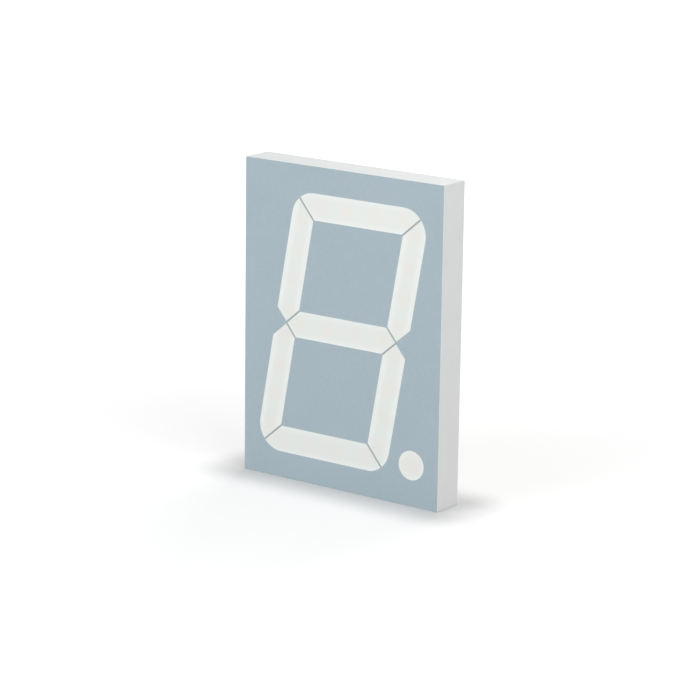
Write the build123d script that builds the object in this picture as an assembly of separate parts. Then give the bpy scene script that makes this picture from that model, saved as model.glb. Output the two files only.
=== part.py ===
from build123d import *
from math import atan2, degrees, hypot, radians, tan
import os

# Seven segment display: one slanted digit with a decimal point, standing on its lower edge.
# Millimetres. The face looks along -Y, X runs to the right seen from the front, Z is up, and the
# origin is the middle of the lower edge, halfway through the depth of the body.
# Every piece is drawn lying on its face, seen from behind, with the depth along Z and the lower
# edge on the X axis. It is stood upright when it is written.

# Body
body_width = 90.0
body_height = 122.0
body_depth = 13.2
body_edge_chamfer = 0.15
print_thickness = 0.1

# Moulded walls
outer_wall = 1.8
front_plate = 1.5
board_ledge = 1.0
pocket_corner_radius = 1.2
cup_wall = 1.0
cup_draft_angle = 5.0
rib_thickness = 1.0
rib_offset = 16.0

# Digit on the face, which its margins to the edges of the body make 101.6 high
end_margin = 10.2
side_margin = 5.65
digit_stroke = 10.15
digit_slant_angle = 10.0
digit_corner_radius = 10.0
segment_gap = 0.7
point_diameter = 11.2
point_margin = 6.4

# Circuit board and the resin behind it
board_depth = 8.8
board_thickness = 1.6
board_clearance = 0.2
rear_resin_recess = 0.3

# Chips, their copper lands and bond wires
segment_chip_count = 4
point_chip_count = 2
point_chip_spacing = 3.0
chip_size = 0.35
chip_height = 0.25
chip_margin = 0.4
land_width = 1.0
land_thickness = 0.035
land_gap = 0.3
land_lead = 1.5
wire_size = 0.04
wire_rise = 0.3
wire_span = 0.9

# Pins in two rows, with square shanks in the board and resin
pins_in_row = 5
pin_pitch = 2.54
pin_edge_distance = 7.66
pin_diameter = 0.8
pin_reach = 5.0
shank_size = 0.56
shank_reach = 0.9
shank_hole_diameter = 0.9
solder_size = 1.6
solder_height = 0.6

# Length by which a cutting tool passes the face that it opens
overrun = 1.0

# Places that follow from the sizes
face_middle = body_height / 2
board_rear = board_depth + board_thickness
bar_rear = board_depth - land_thickness
resin_rear = body_depth - rear_resin_recess
seat_width = body_width - 2 * outer_wall
seat_height = body_height - 2 * outer_wall
digit_height = body_height - 2 * end_margin
digit_lean = digit_height * tan(radians(digit_slant_angle))
digit_width = body_width - 2 * side_margin - digit_lean
half_width = digit_width / 2
half_height = digit_height / 2
half_stroke = digit_stroke / 2
inner_width = half_width - digit_stroke
inner_height = half_height - digit_stroke
column = half_width - half_stroke
row = half_height - half_stroke
point_offset = body_width / 2 - point_margin - point_diameter / 2
point_height = end_margin + point_diameter / 2
on_floor = (Align.CENTER, Align.CENTER, Align.MIN)

# Middle lines of the seven strokes on the upright digit, with its middle at zero
centre_lines = {
    "a": ((-column, row), (column, row)),
    "b": ((column, row), (column, 0)),
    "c": ((column, 0), (column, -row)),
    "d": ((-column, -row), (column, -row)),
    "e": ((-column, 0), (-column, -row)),
    "f": ((-column, row), (-column, 0)),
    "g": ((-column, 0), (column, 0)),
}


def slanted(x, y):
    """Place on the face, seen from behind, of a point of the upright digit."""
    return Vector(-x - y * tan(radians(digit_slant_angle)), face_middle + y)


def slanted_face(*corners):
    """Flat outline through points of the upright digit."""
    return make_face(Polyline(*[slanted(*corner) for corner in corners], close=True))


def figure_outline():
    """Outside of the figure eight, with its round corners and the notch at each side."""
    outline = slanted_face(
        (-half_width, half_height),
        (half_width, half_height),
        (half_width, half_stroke),
        (column, 0),
        (half_width, -half_stroke),
        (half_width, -half_height),
        (-half_width, -half_height),
        (-half_width, -half_stroke),
        (-column, 0),
        (-half_width, half_stroke),
    )
    levels = outline.vertices().group_by(Axis.Y)
    return fillet(levels[0] + levels[-1], digit_corner_radius)


def eye_outline(side):
    """One of the two areas that the strokes enclose: the upper for side 1, the lower for -1."""
    return slanted_face(
        (-inner_width, side * half_stroke),
        (inner_width, side * half_stroke),
        (inner_width, side * inner_height),
        (-inner_width, side * inner_height),
    )


def mitre_strip(start, end):
    """Strip as wide as the gap between two segments, along the mitre from start to end."""
    line = slanted(*end) - slanted(*start)
    middle = (slanted(*end) + slanted(*start)) / 2
    strip = Rectangle(line.length + 2 * segment_gap, segment_gap)
    return Plane(middle, x_dir=line, z_dir=(0, 0, 1)) * strip


def bar_outlines():
    """Outline on the face of each bar of milky resin, by the bar's short name."""
    figure = figure_outline() - [eye_outline(1), eye_outline(-1)]
    for side in (1, -1):
        for level in (1, -1):
            corner = (side * half_width, level * half_height)
            figure -= mitre_strip(corner, (side * inner_width, level * inner_height))
            notch = (side * half_width, level * half_stroke)
            figure -= mitre_strip(notch, (side * inner_width, -level * half_stroke))
    outlines = {}
    for name, (start, end) in centre_lines.items():
        middle = (slanted(*start) + slanted(*end)) / 2
        outlines[name] = figure.faces().sort_by_distance(middle)[0]
    outlines["point"] = point_outline()
    return outlines


def point_outline():
    """Outline of the decimal point on the face."""
    return (Pos(-point_offset, point_height) * Circle(point_diameter / 2)).face()


def slab(width, height, start, end):
    """Plain slab centred on the body between two depths."""
    return Pos(0, face_middle, start) * Box(width, height, end - start, align=on_floor)


def rounded_slab(width, height, start, end):
    """Slab with rounded corners, centred on the body between two depths."""
    outline = Pos(0, face_middle, start) * RectangleRounded(width, height, pocket_corner_radius)
    return extrude(outline, end - start)


def tapered(outline, start, end):
    """Bar on an outline at the start depth, narrowing by the cups' draft to the end depth."""
    return extrude(Pos(0, 0, start) * outline, end - start, taper=cup_draft_angle)


def eye_pocket(side):
    """Hollow behind one eye of the figure, wider at the board than at the front plate."""
    draft = board_depth * tan(radians(cup_draft_angle))
    mouth = offset(eye_outline(side), draft - cup_wall, kind=Kind.INTERSECTION)
    hollow = tapered(mouth.face(), 0, board_depth - print_thickness - front_plate)
    return Pos(0, 0, board_depth) * mirror(hollow, about=Plane.XY)


def rib(width, height, x, y):
    """Stiffening rib between the front plate and the board."""
    return Pos(x, y, print_thickness) * Box(width, height, board_depth - print_thickness, align=on_floor)


def reflector_housing(bars):
    """White moulding: walls, front plate, tapered cups and ribs in one piece."""
    block = slab(body_width, body_height, print_thickness, body_depth)
    block = chamfer(block.edges(), body_edge_chamfer)
    block -= slab(
        seat_width - 2 * board_ledge,
        seat_height - 2 * board_ledge,
        print_thickness + front_plate,
        board_depth,
    )
    block -= rounded_slab(seat_width, seat_height, board_depth, body_depth + overrun)
    for outline in (figure_outline().face(), point_outline()):
        cup = offset(outline, cup_wall, kind=Kind.INTERSECTION)
        block += tapered(cup.face(), print_thickness, board_depth)
    rib_width = body_width / 2 - outer_wall - column
    rib_height = face_middle - outer_wall - row
    for side in (1, -1):
        block -= eye_pocket(side)
        block += rib(rib_width, rib_thickness, side * (column + rib_width / 2), face_middle)
        for level in (1, -1):
            y = face_middle + level * (row + rib_height / 2)
            block += rib(rib_thickness, rib_height, side * rib_offset, y)
    return block - bars


def face_print(bars):
    """Grey coat on the flat of the face, open at every bar."""
    edges = 2 * body_edge_chamfer
    return slab(body_width - edges, body_height - edges, 0, print_thickness) - bars


def pin_places():
    """Places of the pins, counted from the lower left seen from the front, anticlockwise."""
    first = pin_pitch * (pins_in_row - 1) / 2
    across = [first - i * pin_pitch for i in range(pins_in_row)]
    lower = [Pos(x, pin_edge_distance) for x in across]
    upper = [Pos(-x, body_height - pin_edge_distance) for x in across]
    return lower + upper


def pin_shank():
    """Square shank of a pin, from in front of the board to the surface of the resin."""
    start = board_depth - shank_reach
    return Pos(0, 0, start) * Box(shank_size, shank_size, resin_rear - start, align=on_floor)


def connection_pin():
    """Pin with a square shank and a round shaft behind the resin."""
    length = body_depth + pin_reach - resin_rear
    return pin_shank() + Pos(0, 0, resin_rear) * Cylinder(pin_diameter / 2, length, align=on_floor)


def solder_joint():
    """Solder that rises from the front of the board round a pin's shank."""
    slope = degrees(atan2(solder_size - shank_size, 2 * solder_height))
    heap = extrude(Rectangle(solder_size, solder_size), solder_height, taper=slope)
    return Pos(0, 0, board_depth) * mirror(heap, about=Plane.XY) - pin_shank()


def circuit_board():
    """Board that rests on the ledge and the cups, drilled for the pins."""
    room = 2 * board_clearance
    outline = Rectangle(seat_width - room, seat_height - room)
    outline = chamfer(outline.vertices(), pocket_corner_radius)
    board = extrude(Pos(0, face_middle, board_depth) * outline, board_thickness)
    hole = Pos(0, 0, board_depth) * Cylinder(shank_hole_diameter / 2, board_thickness, align=on_floor)
    return board - [place * hole for place in pin_places()]


def rear_resin():
    """Layer of resin that seals the board and holds the pins."""
    layer = rounded_slab(seat_width, seat_height, board_rear, resin_rear)
    return layer - [place * pin_shank() for place in pin_places()]


def bond_wire():
    """Wire that rises from the top of a chip and comes down on the next land."""
    top = chip_height + wire_rise
    landing = wire_span + wire_size * hypot(wire_span, top) / top
    crest = (landing + wire_size) * top / wire_span
    band = Polyline(
        (0, chip_height),
        (0, top),
        (wire_span, 0),
        (landing, 0),
        (-wire_size, crest),
        (-wire_size, chip_height),
        close=True,
    )
    return extrude(Plane.XZ * make_face(band), wire_size / 2, both=True)


def chip_row(middle, line, count, spacing):
    """Lands, chips and wires in series on the board, along a line through the middle of a bar."""
    first = -spacing * (count - 1) / 2
    places = [first + i * spacing for i in range(count)]
    land_ends = [place + chip_margin for place in places]
    land_starts = [first - land_lead] + [end + land_gap for end in land_ends]
    land_ends.append(land_starts[-1] + land_lead)
    lands = [
        Pos((start + end) / 2, 0) * Box(end - start, land_width, land_thickness, align=on_floor)
        for start, end in zip(land_starts, land_ends)
    ]
    chip = Box(chip_size, chip_size, chip_height, align=on_floor)
    wire = bond_wire()
    chips = [Pos(place, 0, land_thickness) * chip for place in places]
    wires = [Pos(place, 0, land_thickness) * wire for place in places]
    board_front = Plane((middle.X, middle.Y, board_depth), x_dir=line, z_dir=(0, 0, -1))
    return [[board_front * item for item in group] for group in (lands, chips, wires)]


def chip_rows():
    """Chip row of each bar, by the bar's short name."""
    rows = {}
    for name, (start, end) in centre_lines.items():
        line = slanted(*end) - slanted(*start)
        middle = (slanted(*end) + slanted(*start)) / 2
        rows[name] = chip_row(middle, line, segment_chip_count, line.length / segment_chip_count)
    point = Vector(-point_offset, point_height)
    rows["point"] = chip_row(point, Vector(1, 0), point_chip_count, point_chip_spacing)
    return rows


def build_pieces():
    """Every piece of the display by its name, lying on its face."""
    cavities = {name: tapered(outline, 0, board_depth) for name, outline in bar_outlines().items()}
    cuts = list(cavities.values())
    pieces = {
        "reflector_housing": reflector_housing(cuts),
        "face_print": face_print(cuts),
        "circuit_board": circuit_board(),
        "rear_resin": rear_resin(),
    }
    all_lands = []
    land_layer = slab(body_width, body_height, bar_rear, board_rear)
    for name, (lands, chips, wires) in chip_rows().items():
        bar = "decimal_point" if name == "point" else "segment_" + name
        pieces[bar] = cavities[name] - [land_layer] - chips - wires
        pieces["led_chips_" + name] = Compound(chips)
        pieces["bond_wires_" + name] = Compound(wires)
        all_lands += lands
    pieces["copper_lands"] = Compound(all_lands)
    for number, place in enumerate(pin_places(), start=1):
        pieces[f"pin_{number}"] = place * connection_pin()
    pieces["solder_joints"] = Compound([place * solder_joint() for place in pin_places()])
    return pieces


standing = Plane(origin=(0, -body_depth / 2, 0), x_dir=(-1, 0, 0), z_dir=(0, 1, 0))
os.makedirs("parts", exist_ok=True)
for piece_name, piece in build_pieces().items():
    export_step(standing * piece, f"parts/{piece_name}.step")
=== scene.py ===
"""Studio scene of a seven segment display.

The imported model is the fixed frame. This script gives every piece its finish and models three
kinds of piece anew in their places: the bars of milky resin, the resin cast into the back and the
plated pins. Then it sets up the floor, the lamps and the camera. Lengths are in metres.
"""

import logging
import math
from dataclasses import dataclass
from enum import Enum
from typing import Any, Union

import bmesh
import bpy
from mathutils import Matrix, Vector


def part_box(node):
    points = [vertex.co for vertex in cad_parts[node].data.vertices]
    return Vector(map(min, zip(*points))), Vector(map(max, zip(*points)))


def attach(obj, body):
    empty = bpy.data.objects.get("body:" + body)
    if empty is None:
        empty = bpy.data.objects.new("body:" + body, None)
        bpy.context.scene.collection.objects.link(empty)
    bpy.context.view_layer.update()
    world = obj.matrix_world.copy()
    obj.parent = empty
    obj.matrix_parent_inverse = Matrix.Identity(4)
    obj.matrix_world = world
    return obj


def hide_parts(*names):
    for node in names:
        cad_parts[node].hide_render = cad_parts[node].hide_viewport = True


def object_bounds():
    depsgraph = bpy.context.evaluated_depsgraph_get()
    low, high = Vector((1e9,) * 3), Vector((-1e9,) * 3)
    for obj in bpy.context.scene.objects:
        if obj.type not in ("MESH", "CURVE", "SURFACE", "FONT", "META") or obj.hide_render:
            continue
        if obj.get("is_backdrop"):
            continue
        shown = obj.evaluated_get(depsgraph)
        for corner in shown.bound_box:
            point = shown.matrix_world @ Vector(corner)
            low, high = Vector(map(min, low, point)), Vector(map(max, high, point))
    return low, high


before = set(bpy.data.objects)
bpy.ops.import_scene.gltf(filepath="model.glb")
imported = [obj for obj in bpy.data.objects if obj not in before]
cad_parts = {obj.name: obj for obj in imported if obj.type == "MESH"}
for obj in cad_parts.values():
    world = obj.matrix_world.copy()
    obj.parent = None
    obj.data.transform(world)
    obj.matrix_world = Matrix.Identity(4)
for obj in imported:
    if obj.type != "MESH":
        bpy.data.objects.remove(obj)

LOG = logging.getLogger("display")
MM = 0.001
BODY = "root"
BAR_NAMES = ("a", "b", "c", "d", "e", "f", "g")
PIN_COUNT = 10
SHARP_ANGLE = math.radians(35)
ROUND_PROFILE = 0.5
NOISE_MIDDLE = 0.5
TURN_TO_BACK = Matrix.Rotation(-math.pi / 2, 4, "X")

# Steps from a screen's level of colour to linear light
FULL_LEVEL = 255
TOE_END = 0.04045
TOE_SLOPE = 12.92
CURVE_OFFSET = 0.055
CURVE_POWER = 2.4

Colour = tuple[float, float, float, float]
Tint = Union[Colour, bpy.types.NodeSocket]
Range = tuple[float, float]
Stretch = tuple[float, float, float]


def tone(red: int, green: int, blue: int) -> Colour:
    """Gives a colour, as a screen shows it, in linear light.

    Args:
        red: Red from 0 to 255.
        green: Green from 0 to 255.
        blue: Blue from 0 to 255.

    Returns:
        The linear colour with full cover.
    """
    linear = []
    for level in (red, green, blue):
        share = level / FULL_LEVEL
        curve = ((share + CURVE_OFFSET) / (1 + CURVE_OFFSET)) ** CURVE_POWER
        linear.append(share / TOE_SLOPE if share <= TOE_END else curve)
    return (*linear, 1.0)


class Signal:
    """A number that changes over a surface, used in plain Python expressions."""

    def __init__(self, shader: "Shader", socket: bpy.types.NodeSocket) -> None:
        """Holds an output socket of one of the shader's nodes."""
        self.shader = shader
        self.socket = socket

    def __add__(self, other: "Number") -> "Signal":
        """Sum of two numbers."""
        return self.shader.math("ADD", self, other)

    def __sub__(self, other: "Number") -> "Signal":
        """Difference of two numbers."""
        return self.shader.math("SUBTRACT", self, other)

    def __rsub__(self, other: float) -> "Signal":
        """Difference from a plain number."""
        return self.shader.math("SUBTRACT", other, self)

    def __mul__(self, other: "Number") -> "Signal":
        """Product of two numbers."""
        return self.shader.math("MULTIPLY", self, other)

    def __truediv__(self, other: "Number") -> "Signal":
        """Quotient of two numbers."""
        return self.shader.math("DIVIDE", self, other)

    def __pow__(self, other: "Number") -> "Signal":
        """One number raised to another."""
        return self.shader.math("POWER", self, other)

    def __abs__(self) -> "Signal":
        """Size without sign."""
        return self.shader.math("ABSOLUTE", self)

    __radd__ = __add__
    __rmul__ = __mul__


Number = Union[Signal, float]


class Shader:
    """Node tree of one material, or of the surroundings."""

    def __init__(self, owner: bpy.types.Material | bpy.types.World) -> None:
        """Empties the owner's tree and starts it with places on the object.

        Args:
            owner: The material or the world that holds the tree.
        """
        owner.use_nodes = True
        self.owner = owner
        self.tree = owner.node_tree
        self.tree.nodes.clear()
        self.place = self.node("ShaderNodeTexCoord").outputs["Object"]

    @classmethod
    def of(cls, name: str) -> "Shader":
        """Starts the tree of a new material."""
        return cls(bpy.data.materials.new(name))

    def node(
        self,
        kind: str,
        settings: dict[str, Any] | None = None,
        inputs: dict[str | int, Any] | None = None,
    ) -> bpy.types.Node:
        """Adds a node.

        Args:
            kind: The node's type.
            settings: Properties of the node, set before its sockets.
            inputs: Values, signals or sockets for its inputs, by name or number.

        Returns:
            The new node.
        """
        made = self.tree.nodes.new(kind)
        for key, value in (settings or {}).items():
            setattr(made, key, value)
        for key, value in (inputs or {}).items():
            source = value.socket if isinstance(value, Signal) else value
            if isinstance(source, bpy.types.NodeSocket):
                self.tree.links.new(source, made.inputs[key])
            else:
                made.inputs[key].default_value = source
        return made

    def math(self, operation: str, *terms: Number) -> Signal:
        """Adds a Math node and gives its result."""
        node = self.node("ShaderNodeMath", {"operation": operation}, dict(enumerate(terms)))
        return Signal(self, node.outputs[0])

    def dot(self, direction: Vector, origin: Vector) -> Signal:
        """Measures how far a place lies from an origin along a direction.

        Args:
            direction: The direction, whose length scales the result.
            origin: The place that measures zero.

        Returns:
            The signed distance times the direction's length.
        """
        operation = {"operation": "DOT_PRODUCT"}
        node = self.node("ShaderNodeVectorMath", operation, {0: self.place, 1: direction})
        return Signal(self, node.outputs["Value"]) - direction.dot(origin)

    def noise(self, size: float, detail: float = 2.0, stretch: Stretch = (1, 1, 1)) -> Signal:
        """Adds soft noise about one half.

        Args:
            size: Length of the noise's features.
            detail: How many finer layers it has.
            stretch: How many times longer the features are along each axis.

        Returns:
            The noise, from 0 to 1.
        """
        scale = [1 / share for share in stretch]
        mapped = self.node("ShaderNodeMapping", inputs={"Vector": self.place, "Scale": scale})
        inputs = {"Vector": mapped.outputs[0], "Scale": 1 / size, "Detail": detail}
        return Signal(self, self.node("ShaderNodeTexNoise", inputs=inputs).outputs[0])

    def cells(self, size: float) -> Signal:
        """Adds scattered cells and gives the distance to the nearest middle, 0 to about 1."""
        inputs = {"Vector": self.place, "Scale": 1 / size}
        return Signal(self, self.node("ShaderNodeTexVoronoi", inputs=inputs).outputs["Distance"])

    def step(self, value: Signal, low: float, high: float) -> Signal:
        """Turns a number into a smooth share.

        Args:
            value: The number.
            low: Where the share is 0.
            high: Where the share is 1.

        Returns:
            The share, from 0 to 1.
        """
        settings = {"interpolation_type": "SMOOTHSTEP"}
        inputs = {"Value": value, "From Min": low, "From Max": high}
        return Signal(self, self.node("ShaderNodeMapRange", settings, inputs).outputs[0])

    def mix(self, share: Signal, first: Tint, second: Tint) -> bpy.types.NodeSocket:
        """Mixes two colours.

        Args:
            share: How much of the second colour shows.
            first: The colour at 0, or its socket.
            second: The colour at 1, or its socket.

        Returns:
            The socket of the mixed colour.
        """
        node = self.node("ShaderNodeMix", {"data_type": "RGBA"}, {0: share, 6: first, 7: second})
        return node.outputs[2]

    def bump(self, height: Signal, depth: float) -> bpy.types.NodeSocket:
        """Turns a height from 0 to 1, times a depth, into a normal."""
        node = self.node("ShaderNodeBump", inputs={"Height": height, "Distance": depth})
        return node.outputs["Normal"]

    def surface(self, inputs: dict[str, Any]) -> bpy.types.Material:
        """Closes the tree with a surface.

        Args:
            inputs: Values, signals or sockets of the surface by the socket's name.

        Returns:
            The finished material.
        """
        skin = self.node("ShaderNodeBsdfPrincipled", inputs=inputs)
        self.node("ShaderNodeOutputMaterial", inputs={"Surface": skin.outputs["BSDF"]})
        return self.owner

    def seen(self) -> Signal:
        """Tells rays that look from rays that gather light.

        Returns:
            1 where the camera, a mirror or glass looks, and 0 elsewhere.
        """
        outputs = self.node("ShaderNodeLightPath").outputs
        camera, mirror, glass = (
            Signal(self, outputs[f"Is {ray} Ray"]) for ray in ("Camera", "Glossy", "Transmission")
        )
        return self.math("MAXIMUM", self.math("MAXIMUM", camera, mirror), glass)


@dataclass(frozen=True)
class WhitePlastic:
    """Moulded white plastic with a fine satin grain."""

    colour: Colour = tone(242, 245, 244)
    cloud: Colour = tone(237, 240, 240)
    cloud_size: float = 14 * MM
    grain_size: float = 0.4 * MM
    grain_depth: float = 0.01 * MM
    roughness: float = 0.44
    roughness_swing: float = 0.16

    def material(self) -> bpy.types.Material:
        """Builds the finish.

        Returns:
            The material.
        """
        shader = Shader.of("white_plastic")
        grain = shader.noise(self.grain_size)
        inputs = {
            "Base Color": shader.mix(shader.noise(self.cloud_size), self.colour, self.cloud),
            "Roughness": self.roughness + self.roughness_swing * (grain - NOISE_MIDDLE),
            "Normal": shader.bump(grain, self.grain_depth),
        }
        return shader.surface(inputs)


@dataclass(frozen=True)
class Figure:
    """Layout of the slanted digit on the face.

    The lines between the bars end where they meet the rounded corners. Those at the acute corners
    of the slanted figure end sooner by the swing, and the others later.
    """

    half_width: float = 30.39 * MM
    half_height: float = 50.8 * MM
    stroke: float = 10.15 * MM
    slant: float = math.radians(10)
    corner_cut: float = 3.3 * MM
    corner_cut_swing: float = 0.65 * MM
    end_fade: float = 0.3 * MM

    def mitres(self, shader: Shader, half_line: float) -> Signal:
        """Marks the lines between the bars.

        Args:
            shader: Tree of the material that shows them.
            half_line: Half of the lines' width.

        Returns:
            1 on the lines and 0 elsewhere.
        """
        low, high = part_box("reflector_housing")
        middle = Vector((0, 0, (low.z + high.z) / 2))
        right = shader.dot(Vector((1, 0, -math.tan(self.slant))), middle)
        up = shader.dot(Vector((0, 0, 1)), middle)
        aside, level = abs(right), abs(up)
        column = self.half_width - self.stroke / 2
        corner = abs(aside - level + (self.half_height - self.half_width))
        waist = abs(abs(aside - column) - level)
        inner = self.half_width - self.stroke
        inside = shader.step(aside, inner - half_line / 2, inner)
        acute = shader.math("SIGN", right * up)
        outward = aside + self.corner_cut_swing * acute
        corner_end = self.half_width - self.corner_cut
        corner_line = self.line(shader, corner, half_line) * self.before(shader, outward, corner_end)
        waist_line = self.line(shader, waist, half_line) * self.before(shader, aside, column)
        return shader.math("MAXIMUM", corner_line, waist_line) * inside

    def line(self, shader: Shader, distance: Signal, half_line: float) -> Signal:
        """Gives 1 near the middle of a line and 0 beyond its width."""
        return 1 - shader.step(distance, half_line, 2 * half_line)

    def before(self, shader: Shader, value: Signal, end: float) -> Signal:
        """Gives 1 up to a place and 0 past it."""
        return 1 - shader.step(value, end, end + self.end_fade)


@dataclass(frozen=True)
class GreyInk:
    """Matt grey ink, screen-printed on the face, darker in the thin lines between the bars."""

    thin: Colour = tone(175, 191, 200)
    dense: Colour = tone(167, 185, 194)
    speck: Colour = tone(158, 175, 185)
    line: Colour = tone(165, 172, 174)
    half_line: float = 0.6 * MM
    figure: Figure = Figure()
    cloud_size: float = 16 * MM
    speckle_size: float = 0.4 * MM
    speckle_detail: float = 3
    speckle_range: Range = (0.4, 0.75)
    speckle_share: float = 0.5
    peel_depth: float = 0.012 * MM
    roughness: float = 0.56
    roughness_swing: float = 0.2

    def material(self) -> bpy.types.Material:
        """Builds the finish.

        Returns:
            The material.
        """
        shader = Shader.of("grey_ink")
        clouds = shader.noise(self.cloud_size)
        speckle = shader.noise(self.speckle_size, self.speckle_detail)
        ink = shader.mix(clouds, self.thin, self.dense)
        specks = self.speckle_share * shader.step(speckle, *self.speckle_range)
        ink = shader.mix(specks, ink, self.speck)
        inputs = {
            "Base Color": shader.mix(self.figure.mitres(shader, self.half_line), ink, self.line),
            "Roughness": self.roughness + self.roughness_swing * (speckle - NOISE_MIDDLE),
            "Normal": shader.bump(speckle, self.peel_depth),
        }
        return shader.surface(inputs)


class Form(Enum):
    """Outline of a lit field on the face."""

    BAR = "bar"
    ROUND = "round"


@dataclass(frozen=True)
class DotRow:
    """Row of evenly spaced small things that show faintly through resin."""

    first: Vector
    step: Vector
    count: int

    @classmethod
    def between(cls, start: Vector, end: Vector, count: int) -> "DotRow":
        """Spaces dots evenly from a start to an end, seen from the front."""
        flat_start, flat_end = (Vector((place.x, 0, place.z)) for place in (start, end))
        return cls(flat_start, (flat_end - flat_start) / (count - 1), count)

    @property
    def pitch(self) -> float:
        """Distance from one dot to the next."""
        return self.step.length

    @property
    def middle(self) -> Vector:
        """Middle of the row."""
        return self.first + self.step * ((self.count - 1) / 2)

    def across(self, shader: Shader) -> Signal:
        """Measures how far a place lies beside the row."""
        way = self.step.normalized()
        return shader.dot(Vector((-way.z, 0, way.x)), self.first)

    def nearness(self, shader: Shader, size: float) -> Signal:
        """Gives 1 at each dot, fading with the distance from it.

        Args:
            shader: Tree of the material that shows the dots.
            size: Distance at which about a third is left.

        Returns:
            The share, from 0 to 1.
        """
        along = shader.dot(self.step / self.pitch**2, self.first)
        lowest = shader.math("MAXIMUM", shader.math("ROUND", along), 0.0)
        nearest = shader.math("MINIMUM", lowest, float(self.count - 1))
        ahead = (along - nearest) * self.pitch
        across = self.across(shader)
        return shader.math("EXPONENT", (ahead * ahead + across * across) * (-1 / size**2))


@dataclass(frozen=True)
class MilkyResin:
    """Milky cast resin: white at the walls of its cup, a little warmer above the chips."""

    colour: Colour = tone(239, 243, 239)
    rim: Colour = tone(243, 247, 244)
    warm: Colour = tone(240, 239, 234)
    cloud: Colour = tone(236, 241, 238)
    speck: Colour = tone(226, 230, 226)
    speck_size: float = 0.35 * MM
    speck_range: Range = (0.55, 0.85)
    speck_share: float = 0.6
    cloud_size: float = 7 * MM
    spot_size: float = 3.2 * MM
    ripple_size: float = 5 * MM
    ripple_depth: float = 0.006 * MM
    roughness: float = 0.36
    roughness_swing: float = 0.1
    rim_start_share: float = 0.5
    refraction: float = 1.52

    def material(self, name: str, row: DotRow, form: Form, half_width: float) -> bpy.types.Material:
        """Builds the finish of one lit field.

        Args:
            name: Name of the material.
            row: The chips behind the field.
            form: Outline of the field.
            half_width: Half of the field's width.

        Returns:
            The material.
        """
        shader = Shader.of(name)
        edge = abs(row.across(shader))
        if form is Form.ROUND:
            aside = shader.dot(row.step.normalized(), row.middle)
            edge = (aside * aside + edge * edge) ** 0.5
        clouds = shader.noise(self.cloud_size)
        milk = shader.mix(clouds, self.cloud, self.colour)
        milk = shader.mix(shader.step(edge / half_width, self.rim_start_share, 1.0), milk, self.rim)
        milk = shader.mix(row.nearness(shader, self.spot_size), milk, self.warm)
        specks = shader.step(shader.noise(self.speck_size), *self.speck_range)
        inputs = {
            "Base Color": shader.mix(self.speck_share * specks, milk, self.speck),
            "Roughness": self.roughness + self.roughness_swing * (clouds - NOISE_MIDDLE),
            "Normal": shader.bump(shader.noise(self.ripple_size), self.ripple_depth),
            "IOR": self.refraction,
        }
        return shader.surface(inputs)


@dataclass(frozen=True)
class SealingResin:
    """Cloudy cast resin with a glossy, slightly uneven skin, over solder that shows as a shade."""

    colour: Colour = tone(224, 223, 209)
    deep: Colour = tone(217, 218, 203)
    bubble: Colour = tone(234, 233, 223)
    shade: Colour = tone(186, 189, 180)
    shade_size: float = 1.1 * MM
    shade_share: float = 0.7
    cloud_size: float = 30 * MM
    cloud_detail: float = 1
    cloud_share: float = 0.65
    swirl_size: float = 6 * MM
    swirl_detail: float = 2
    swirl_share: float = 0.35
    depth_range: Range = (0.3, 0.7)
    bubble_spacing: float = 5 * MM
    bubble_size_share: float = 0.055
    bubble_cover_share: float = 0.7
    bubble_height_share: float = 0.4
    wave_size: float = 9 * MM
    wave_depth: float = 0.02 * MM
    roughness: float = 0.12
    roughness_swing: float = 0.12
    refraction: float = 1.54

    def material(self, rows: list[DotRow]) -> bpy.types.Material:
        """Builds the finish.

        Args:
            rows: The pins, whose solder shades the resin round them.

        Returns:
            The material.
        """
        shader = Shader.of("sealing_resin")
        clouds = shader.noise(self.cloud_size, self.cloud_detail)
        swirls = shader.noise(self.swirl_size, self.swirl_detail)
        depth = shader.step(clouds * self.cloud_share + swirls * self.swirl_share, *self.depth_range)
        bubbles = 1 - shader.step(shader.cells(self.bubble_spacing), 0.0, self.bubble_size_share)
        resin = shader.mix(depth, self.colour, self.deep)
        for row in rows:
            resin = shader.mix(self.shade_share * row.nearness(shader, self.shade_size), resin, self.shade)
        waves = shader.noise(self.wave_size) + bubbles * self.bubble_height_share
        inputs = {
            "Base Color": shader.mix(bubbles * self.bubble_cover_share, resin, self.bubble),
            "Roughness": self.roughness + self.roughness_swing * swirls,
            "Normal": shader.bump(waves, self.wave_depth),
            "IOR": self.refraction,
        }
        return shader.surface(inputs)


@dataclass(frozen=True)
class BoardLaminate:
    """Glass-fibre laminate under green lacquer, with the weave showing through."""

    colour: Colour = tone(52, 104, 62)
    thread: Colour = tone(74, 124, 78)
    weave_pitch: float = 0.9 * MM
    weave_depth: float = 0.004 * MM
    weave_share: float = 0.5
    cloud_size: float = 15 * MM
    cloud_share: float = 0.4
    roughness: float = 0.36
    roughness_swing: float = 0.1

    def material(self) -> bpy.types.Material:
        """Builds the finish.

        Returns:
            The material.
        """
        shader = Shader.of("board_laminate")
        origin = Vector()
        turn = 2 * math.pi / self.weave_pitch
        warp = shader.math("SINE", shader.dot(Vector((turn, 0, 0)), origin))
        weft = shader.math("SINE", shader.dot(Vector((0, 0, turn)), origin))
        weave = (warp * weft + 1) / 2
        clouds = shader.noise(self.cloud_size)
        threads = weave * self.weave_share + clouds * self.cloud_share
        inputs = {
            "Base Color": shader.mix(threads, self.colour, self.thread),
            "Roughness": self.roughness + self.roughness_swing * (clouds - NOISE_MIDDLE),
            "Normal": shader.bump(weave, self.weave_depth),
        }
        return shader.surface(inputs)


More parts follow.
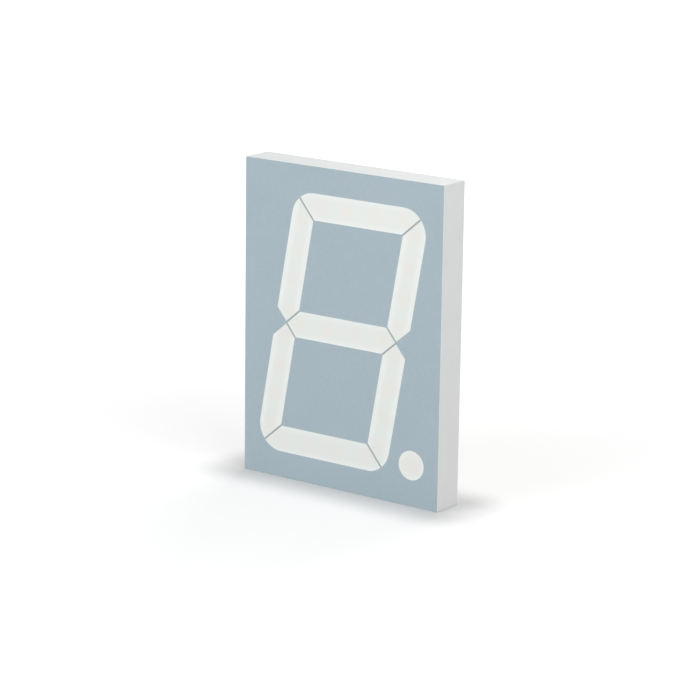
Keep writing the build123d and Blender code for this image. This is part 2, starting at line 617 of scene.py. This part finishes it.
@dataclass(frozen=True)
class BareMetal:
    """Drawn, rolled or plated metal with fine lines along its length and dull patches."""

    name: str
    colour: Colour
    dull: Colour
    line_size: float
    line_stretch: Stretch = (1, 1, 1)
    line_depth: float = 0.001 * MM
    patch_size: float = 1.2 * MM
    patch_range: Range = (0.35, 0.75)
    patch_middle: float = 0.4
    noise_detail: float = 3
    roughness: float = 0.33
    roughness_swing: float = 0.1

    def material(self) -> bpy.types.Material:
        """Builds the finish.

        Returns:
            The material.
        """
        shader = Shader.of(self.name)
        lines = shader.noise(self.line_size, self.noise_detail, self.line_stretch)
        patches = shader.noise(self.patch_size, self.noise_detail)
        inputs = {
            "Base Color": shader.mix(shader.step(patches, *self.patch_range), self.colour, self.dull),
            "Metallic": 1.0,
            "Roughness": self.roughness + self.roughness_swing * (patches - self.patch_middle),
            "Normal": shader.bump(lines, self.line_depth),
        }
        return shader.surface(inputs)


@dataclass(frozen=True)
class ChipCrystal:
    """Sawn crystal of a lamp chip."""

    colour: Colour = tone(138, 96, 78)
    dark: Colour = tone(92, 62, 56)
    mark_size: float = 0.08 * MM
    mark_stretch: Stretch = (4, 1, 1)
    mark_range: Range = (0.3, 0.7)
    mark_depth: float = 0.001 * MM
    roughness: float = 0.34
    roughness_swing: float = 0.2

    def material(self) -> bpy.types.Material:
        """Builds the finish.

        Returns:
            The material.
        """
        shader = Shader.of("chip_crystal")
        marks = shader.noise(self.mark_size, stretch=self.mark_stretch)
        inputs = {
            "Base Color": shader.mix(shader.step(marks, *self.mark_range), self.colour, self.dark),
            "Roughness": self.roughness + self.roughness_swing * (marks - NOISE_MIDDLE),
            "Normal": shader.bump(marks, self.mark_depth),
        }
        return shader.surface(inputs)


TINNED_METAL = BareMetal(
    "tinned_metal",
    colour=tone(214, 214, 212),
    dull=tone(186, 187, 188),
    line_size=0.09 * MM,
    line_stretch=(1, 30, 1),
)
SOLDER = BareMetal("solder", tone(205, 206, 208), tone(176, 178, 182), line_size=0.3 * MM)
COPPER = BareMetal("copper", tone(216, 150, 112), tone(178, 110, 78), line_size=0.2 * MM)
GOLD_WIRE = BareMetal("gold_wire", tone(236, 200, 118), tone(214, 170, 88), line_size=0.05 * MM)


def paint(node: str, material: bpy.types.Material) -> None:
    """Gives a node of the frame its finish."""
    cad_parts[node].material_slots[0].material = material
    LOG.info("painted %s with %s", node, material.name)


def finished(mesh: bmesh.types.BMesh, name: str, material: bpy.types.Material) -> bpy.types.Object:
    """Turns a bmesh into a piece that rides on the body.

    Args:
        mesh: The shape, in its place. It is used up.
        name: Name of the piece.
        material: Its finish.

    Returns:
        The object.
    """
    data = bpy.data.meshes.new(name)
    mesh.to_mesh(data)
    mesh.free()
    data.materials.append(material)
    data.polygons.foreach_set("use_smooth", [True] * len(data.polygons))
    data.set_sharp_from_angle(angle=SHARP_ANGLE)
    piece = bpy.data.objects.new(name, data)
    bpy.context.scene.collection.objects.link(piece)
    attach(piece, BODY)
    LOG.info("built %s with %d faces", name, len(data.polygons))
    return piece


@dataclass(frozen=True)
class Meniscus:
    """Edge of cast resin, drawn up where it set against a wall."""

    climb: float
    reach: float
    rings: int
    fade: float = 3.0

    def height(self, share: float) -> float:
        """Gives how high the edge stands at a share of its reach."""
        end = math.exp(-self.fade)
        return self.climb * (math.exp(-self.fade * share) - end) / (1 - end)

    def sink(self, mesh: bmesh.types.BMesh, faces: list[bmesh.types.BMFace]) -> None:
        """Lowers the middle of faces ring by ring, so that their edge stands proud.

        Args:
            mesh: The bmesh that holds the faces.
            faces: The faces, which lie in one plane.
        """
        ring = self.reach / self.rings
        for index in range(self.rings):
            drop = self.height((index + 1) / self.rings) - self.height(index / self.rings)
            bmesh.ops.inset_region(mesh, faces=faces, thickness=ring, depth=drop, use_even_offset=True)


@dataclass
class LitFace:
    """Printed face with its seven bars and its point of milky resin."""

    chips_in_bar: int = 4
    chips_in_point: int = 2
    ink: GreyInk = GreyInk()
    resin: MilkyResin = MilkyResin()
    edge: Meniscus = Meniscus(climb=0.04 * MM, reach=0.45 * MM, rings=5)
    merge_distance: float = 0.001 * MM
    flat_angle: float = math.radians(0.5)
    front_tilt: float = 0.9

    def build(self) -> None:
        """Prints the coat and casts each lit field."""
        paint("face_print", self.ink.material())
        for name in BAR_NAMES:
            self.cast(f"segment_{name}", f"led_chips_{name}", self.chips_in_bar, Form.BAR)
        self.cast("decimal_point", "led_chips_point", self.chips_in_point, Form.ROUND)

    def cast(self, node: str, chips: str, count: int, form: Form) -> bpy.types.Object:
        """Models one lit field with its front drawn down in the middle, as resin sets.

        Args:
            node: Node of the resin.
            chips: Node of its chips.
            count: How many chips are behind it.
            form: Outline of the field.

        Returns:
            The piece.
        """
        mesh = bmesh.new()
        mesh.from_mesh(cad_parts[node].data)
        bmesh.ops.remove_doubles(mesh, verts=mesh.verts, dist=self.merge_distance)
        bmesh.ops.dissolve_limit(mesh, angle_limit=self.flat_angle, verts=mesh.verts, edges=mesh.edges)
        mesh.normal_update()
        self.edge.sink(mesh, [face for face in mesh.faces if face.normal.y < -self.front_tilt])
        material = self.field_material(node, chips, count, form)
        piece = finished(mesh, f"{node}_cast", material)
        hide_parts(node)
        return piece

    def field_material(self, node: str, chips: str, count: int, form: Form) -> bpy.types.Material:
        """Builds the resin that fits one lit field.

        Args:
            node: Node of the resin.
            chips: Node of its chips.
            count: How many chips are behind it.
            form: Outline of the field.

        Returns:
            The material.
        """
        row = DotRow.between(*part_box(chips), count)
        low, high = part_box(node)
        way = row.step.normalized()
        lean = way.x / way.z if abs(way.z) > abs(way.x) else 0.0
        size = high - low
        width = min(size.x - size.z * lean, size.z)
        return self.resin.material(f"milky_resin_{node}", row, form, width / 2)


@dataclass
class LampBoard:
    """Board with its lands, chips, wires and solder, sealed inside."""

    laminate: BoardLaminate = BoardLaminate()
    crystal: ChipCrystal = ChipCrystal()

    def dress(self) -> None:
        """Gives the sealed pieces their finishes."""
        paint("circuit_board", self.laminate.material())
        paint("copper_lands", COPPER.material())
        paint("solder_joints", SOLDER.material())
        crystal = self.crystal.material()
        gold = GOLD_WIRE.material()
        for name in (*BAR_NAMES, "point"):
            paint(f"led_chips_{name}", crystal)
            paint(f"bond_wires_{name}", gold)


@dataclass
class Housing:
    """White moulding that holds everything."""

    plastic: WhitePlastic = WhitePlastic()

    def dress(self) -> None:
        """Gives the moulding its finish."""
        paint("reflector_housing", self.plastic.material())


def pin_middle(number: int) -> Vector:
    """Gives the middle of a pin's box."""
    low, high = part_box(f"pin_{number}")
    return (low + high) / 2


@dataclass
class SealedBack:
    """Resin cast over the board, drawn up where it meets the walls and the pins."""

    resin: SealingResin = SealingResin()
    corner_radius: float = 1.2 * MM
    corner_steps: int = 6
    wall_edge: Meniscus = Meniscus(climb=0.22 * MM, reach=1.1 * MM, rings=7)
    pin_edge: Meniscus = Meniscus(climb=0.5 * MM, reach=0.9 * MM, rings=7)
    pin_steps: int = 32
    pin_overlap: float = 0.02 * MM
    foot_depth: float = 0.05 * MM

    def build(self) -> bpy.types.Object:
        """Models the layer and the collars round the pins as one piece.

        Returns:
            The piece.
        """
        low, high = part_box("rear_resin")
        mesh = bmesh.new()
        self.add_layer(mesh, low, high)
        for number in range(1, PIN_COUNT + 1):
            self.add_collar(mesh, number, high.y)
        bmesh.ops.recalc_face_normals(mesh, faces=mesh.faces)
        piece = finished(mesh, "rear_resin_cast", self.resin.material(self.pin_rows()))
        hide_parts("rear_resin")
        return piece

    def pin_rows(self) -> list[DotRow]:
        """Reads the two rows of pins from the frame.

        Returns:
            The lower and the upper row.
        """
        half = PIN_COUNT // 2
        ends = ((1, half), (half + 1, PIN_COUNT))
        return [DotRow.between(pin_middle(first), pin_middle(last), half) for first, last in ends]

    def add_layer(self, mesh: bmesh.types.BMesh, low: Vector, high: Vector) -> None:
        """Adds the layer with its drawn-up rim.

        Args:
            mesh: The bmesh that takes it.
            low: Lowest corner of the layer.
            high: Highest corner of the layer, at the level of its surface.
        """
        top = high.y + self.wall_edge.climb
        middle = Vector(((low.x + high.x) / 2, top, (low.z + high.z) / 2))
        half_size = Matrix.Diagonal(((high.x - low.x) / 2, (high.z - low.z) / 2, 1, 1))
        place = Matrix.Translation(middle) @ TURN_TO_BACK @ half_size
        bmesh.ops.create_grid(mesh, x_segments=1, y_segments=1, size=1, matrix=place)
        bmesh.ops.bevel(
            mesh,
            geom=mesh.verts[:],
            offset=self.corner_radius,
            segments=self.corner_steps,
            profile=ROUND_PROFILE,
            affect="VERTICES",
            material=-1,
        )
        skin = mesh.faces[:]
        floor = bmesh.ops.extrude_face_region(mesh, geom=skin, use_keep_orig=True)["geom"]
        down = [item for item in floor if isinstance(item, bmesh.types.BMVert)]
        bmesh.ops.translate(mesh, verts=down, vec=(0, low.y - top, 0))
        bmesh.ops.recalc_face_normals(mesh, faces=mesh.faces)
        self.wall_edge.sink(mesh, skin)

    def add_collar(self, mesh: bmesh.types.BMesh, number: int, level: float) -> None:
        """Adds the resin that climbs one pin, as a ring spun from its section.

        Args:
            mesh: The bmesh that takes it.
            number: Number of the pin.
            level: Where the surface of the resin lies.
        """
        low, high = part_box(f"pin_{number}")
        centre = pin_middle(number)
        centre.y = level
        edge = self.pin_edge
        inner = (high.x - low.x) / 2 - self.pin_overlap
        shares = [index / edge.rings for index in range(edge.rings + 1)]
        section = [(inner + share * edge.reach, edge.height(share)) for share in shares]
        section += [(inner + edge.reach, -self.foot_depth), (inner, -self.foot_depth)]
        verts = [mesh.verts.new(centre + Vector((out, up, 0))) for out, up in section]
        edges = [mesh.edges.new((verts[i - 1], verts[i])) for i in range(len(verts))]
        bmesh.ops.spin(
            mesh,
            geom=verts + edges,
            cent=centre,
            axis=(0, 1, 0),
            angle=2 * math.pi,
            steps=self.pin_steps,
            use_merge=True,
        )


@dataclass
class PlatedPins:
    """Ten connection pins with a plated shaft, a rounded tip and a square shank."""

    metal: BareMetal = TINNED_METAL
    shank_size: float = 0.56 * MM
    tip_rounding: float = 0.16 * MM
    tip_steps: int = 4
    shaft_steps: int = 32

    def build(self) -> None:
        """Models each pin in its place."""
        material = self.metal.material()
        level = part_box("rear_resin")[1].y
        for number in range(1, PIN_COUNT + 1):
            node = f"pin_{number}"
            piece = finished(self.shape(node, level), f"{node}_plated", material)
            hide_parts(node)

    def shape(self, node: str, level: float) -> bmesh.types.BMesh:
        """Models one pin.

        Args:
            node: The pin's node, which gives its place and reach.
            level: Where the shank ends and the shaft starts.

        Returns:
            The pin as a bmesh.
        """
        low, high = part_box(node)
        x, z = (low.x + high.x) / 2, (low.z + high.z) / 2
        mesh = bmesh.new()
        shaft = Matrix.Translation((x, (level + high.y) / 2, z)) @ TURN_TO_BACK
        radius = (high.x - low.x) / 2
        bmesh.ops.create_cone(
            mesh,
            cap_ends=True,
            segments=self.shaft_steps,
            radius1=radius,
            radius2=radius,
            depth=high.y - level,
            matrix=shaft,
        )
        rim = [e for e in mesh.edges if all(v.co.y > high.y - self.tip_rounding for v in e.verts)]
        bmesh.ops.bevel(
            mesh,
            geom=rim,
            offset=self.tip_rounding,
            segments=self.tip_steps,
            profile=ROUND_PROFILE,
            affect="EDGES",
            material=-1,
        )
        size = (self.shank_size, level - low.y, self.shank_size, 1)
        shank = Matrix.Translation((x, (low.y + level) / 2, z)) @ Matrix.Diagonal(size)
        bmesh.ops.create_cube(mesh, size=1, matrix=shank)
        return mesh


@dataclass(frozen=True)
class Softbox:
    """Square lamp with an even face, aimed at the middle of the object."""

    name: str
    place: Vector
    size: float
    power: float

    def build(self, aim: Vector) -> None:
        """Hangs the lamp so that it faces the aim.

        Args:
            aim: The place that the lamp faces.
        """
        data = bpy.data.lights.new(self.name, "AREA")
        data.shape = "SQUARE"
        data.size = self.size
        data.energy = self.power
        lamp = bpy.data.objects.new(self.name, data)
        lamp.location = self.place
        lamp.rotation_euler = (aim - self.place).to_track_quat("-Z", "Y").to_euler()
        bpy.context.scene.collection.objects.link(lamp)
        LOG.info("hung %s", self.name)


@dataclass(frozen=True)
class Glow:
    """Light of the floor's own, none at the foot of the display and full at its reach, so that the floor
    round the foot shows painted shade.
    """

    strength: float
    reach: float


@dataclass
class Studio:
    """Pale floor, soft lamps, even surroundings and the camera.

    The angles of the camera are in degrees and its lens is in millimetres. Lamps are in watts.
    """

    surround: float = 0.5
    white: Colour = (1.0, 1.0, 1.0, 1.0)
    floor_colour: Colour = (0.8, 0.8, 0.8, 1.0)
    floor_radius: float = 4.0
    floor_steps: int = 96
    glows: tuple[Glow, ...] = (Glow(0.34, 22 * MM), Glow(0.06, 200 * MM), Glow(0.5, 1.2))
    lamps: tuple[Softbox, ...] = (
        Softbox("front_lamp", Vector((-0.45, -1.1, 0.4)), size=0.7, power=4.9),
        Softbox("side_lamp", Vector((0.3, -0.15, 0.4)), size=0.25, power=0.52),
        Softbox("rear_lamp", Vector((-0.2, 1.1, 0.6)), size=0.7, power=4.0),
    )
    azimuth: float = 36.06
    elevation: float = 14.31
    roll: float = 0.8
    distance: float = 1029.5 * MM
    aside: float = 3.54 * MM
    below: float = 6.46 * MM
    lens: float = 142.98

    def build(self) -> None:
        """Sets up the whole studio."""
        low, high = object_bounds()
        middle = (low + high) / 2
        self.build_floor(low.z)
        self.build_surroundings()
        for lamp in self.lamps:
            lamp.build(middle)
        self.build_camera()
        bpy.context.scene.view_settings.view_transform = "Standard"

    def build_floor(self, level: float) -> None:
        """Lays a round floor.

        Args:
            level: Height of the floor.
        """
        mesh = bmesh.new()
        place = Matrix.Translation((0, 0, level))
        bmesh.ops.create_circle(
            mesh, cap_ends=True, radius=self.floor_radius, segments=self.floor_steps, matrix=place
        )
        data = bpy.data.meshes.new("floor")
        mesh.to_mesh(data)
        mesh.free()
        data.materials.append(self.floor_material())
        floor = bpy.data.objects.new("floor", data)
        bpy.context.scene.collection.objects.link(floor)
        floor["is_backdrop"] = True

    def floor_material(self) -> bpy.types.Material:
        """Builds the pale matt floor, which keeps the shadow and shows white away from it. Its glow fades
        to nothing at the foot of the display, which adds painted shade round the foot to the real shadow.

        Returns:
            The material.
        """
        shader = Shader.of("pale_floor")
        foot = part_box("reflector_housing")[1]
        right, ahead = (abs(shader.dot(way, Vector())) for way in (Vector((1, 0, 0)), Vector((0, 1, 0))))
        beside = shader.math("MAXIMUM", right - foot.x, 0.0)
        beyond = shader.math("MAXIMUM", ahead - foot.y, 0.0)
        away = (beside * beside + beyond * beyond) ** 0.5
        # painted shade: the glow is nothing at the foot of the display, so the floor stays darker round it
        glow = sum(part.strength * shader.step(away, 0.0, part.reach) for part in self.glows)
        matt = shader.node("ShaderNodeBsdfDiffuse", inputs={"Color": self.floor_colour})
        light = shader.node("ShaderNodeEmission", inputs={"Strength": glow * shader.seen()})
        both = shader.node("ShaderNodeAddShader", inputs={0: matt.outputs[0], 1: light.outputs[0]})
        shader.node("ShaderNodeOutputMaterial", inputs={"Surface": both.outputs[0]})
        return shader.owner

    def build_surroundings(self) -> None:
        """Lights the object evenly from a room that shows white."""
        world = bpy.data.worlds.new("white_room")
        shader = Shader(world)
        strength = self.surround + (1 - self.surround) * shader.seen()
        room = shader.node("ShaderNodeBackground", inputs={"Color": self.white, "Strength": strength})
        shader.node("ShaderNodeOutputWorld", inputs={"Surface": room.outputs[0]})
        bpy.context.scene.world = world

    def build_camera(self) -> None:
        """Places the camera as the display is seen: from its right and a little above."""
        azimuth, elevation, roll = (math.radians(a) for a in (self.azimuth, self.elevation, self.roll))
        level = math.cos(elevation)
        back = Vector((math.sin(azimuth) * level, -math.cos(azimuth) * level, math.sin(elevation)))
        right = Vector((math.cos(azimuth), math.sin(azimuth), 0))
        upright = back.cross(right)
        side = right * math.cos(roll) + upright * math.sin(roll)
        up = upright * math.cos(roll) - right * math.sin(roll)
        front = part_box("face_print")[0].y
        low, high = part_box("reflector_housing")
        aim = Vector((0, front, (low.z + high.z) / 2))
        place = aim + side * self.aside - up * self.below + back * self.distance
        data = bpy.data.cameras.new("camera")
        data.lens = self.lens
        camera = bpy.data.objects.new("camera", data)
        camera.matrix_world = Matrix.Translation(place) @ Matrix((side, up, back)).transposed().to_4x4()
        bpy.context.scene.collection.objects.link(camera)
        bpy.context.scene.camera = camera


def main() -> None:
    """Dresses the display and sets up the studio."""
    logging.basicConfig(level=logging.INFO, format="%(name)s: %(message)s")
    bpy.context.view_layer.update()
    Housing().dress()
    LitFace().build()
    LampBoard().dress()
    SealedBack().build()
    PlatedPins().build()
    Studio().build()


if __name__ == "__main__":
    main()
